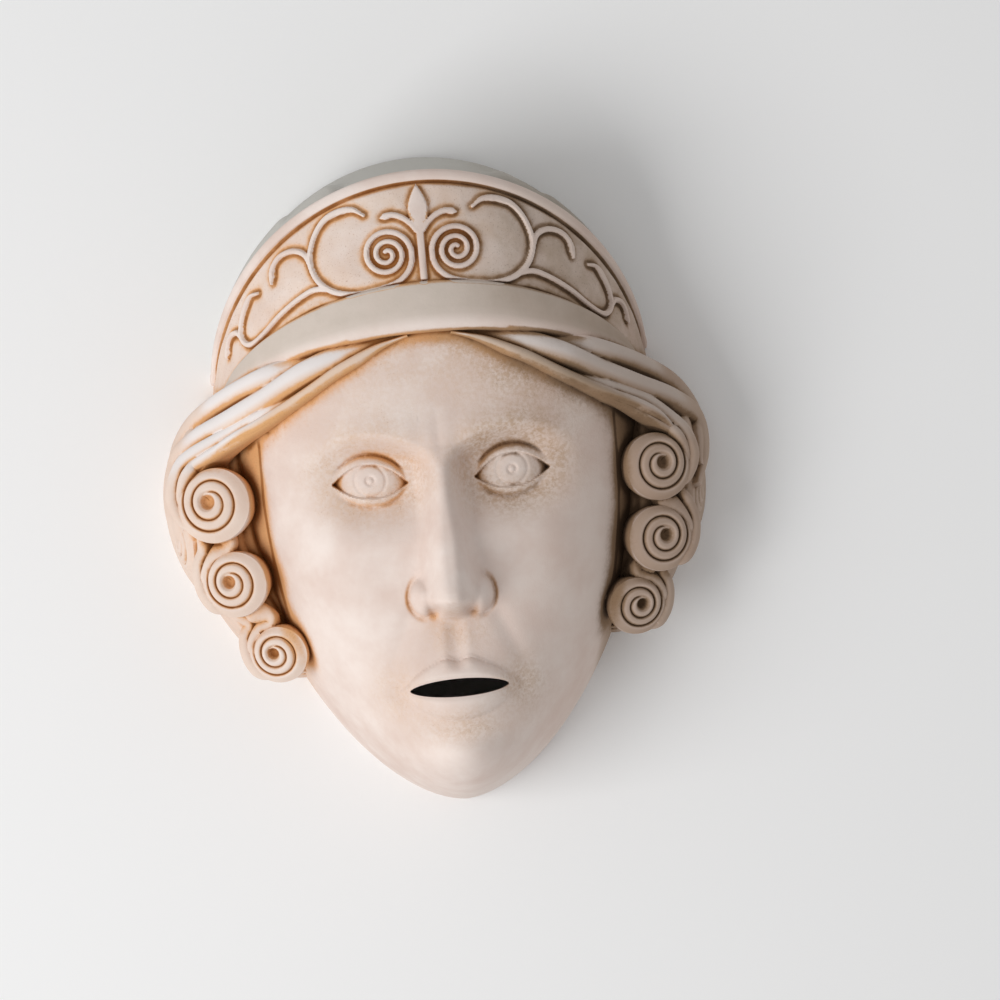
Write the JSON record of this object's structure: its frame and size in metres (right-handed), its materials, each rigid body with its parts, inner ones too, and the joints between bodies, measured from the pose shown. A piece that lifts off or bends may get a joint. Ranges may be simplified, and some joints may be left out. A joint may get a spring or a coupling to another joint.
{
  "type": "greek theatre mask",
  "caption": "Hollow plaster wall mask of a classical head with a scrolled headband, swept hair, snail curls and an open mouth.",
  "frame": {"origin": "middle of the underside, on the plane that the back rim rests on", "axes": "+X across the face, +Y from chin to crown, +Z out of the face; the mask lies face up"},
  "size_m": [0.256, 0.2998, 0.1288],
  "materials": {
    "plaster": "dry matt casting plaster, pale warm grey, with ochre to umber patina washed into the recesses"
  },
  "bodies": {
    "root": {"mask": "plaster"}
  },
  "joints": []
}
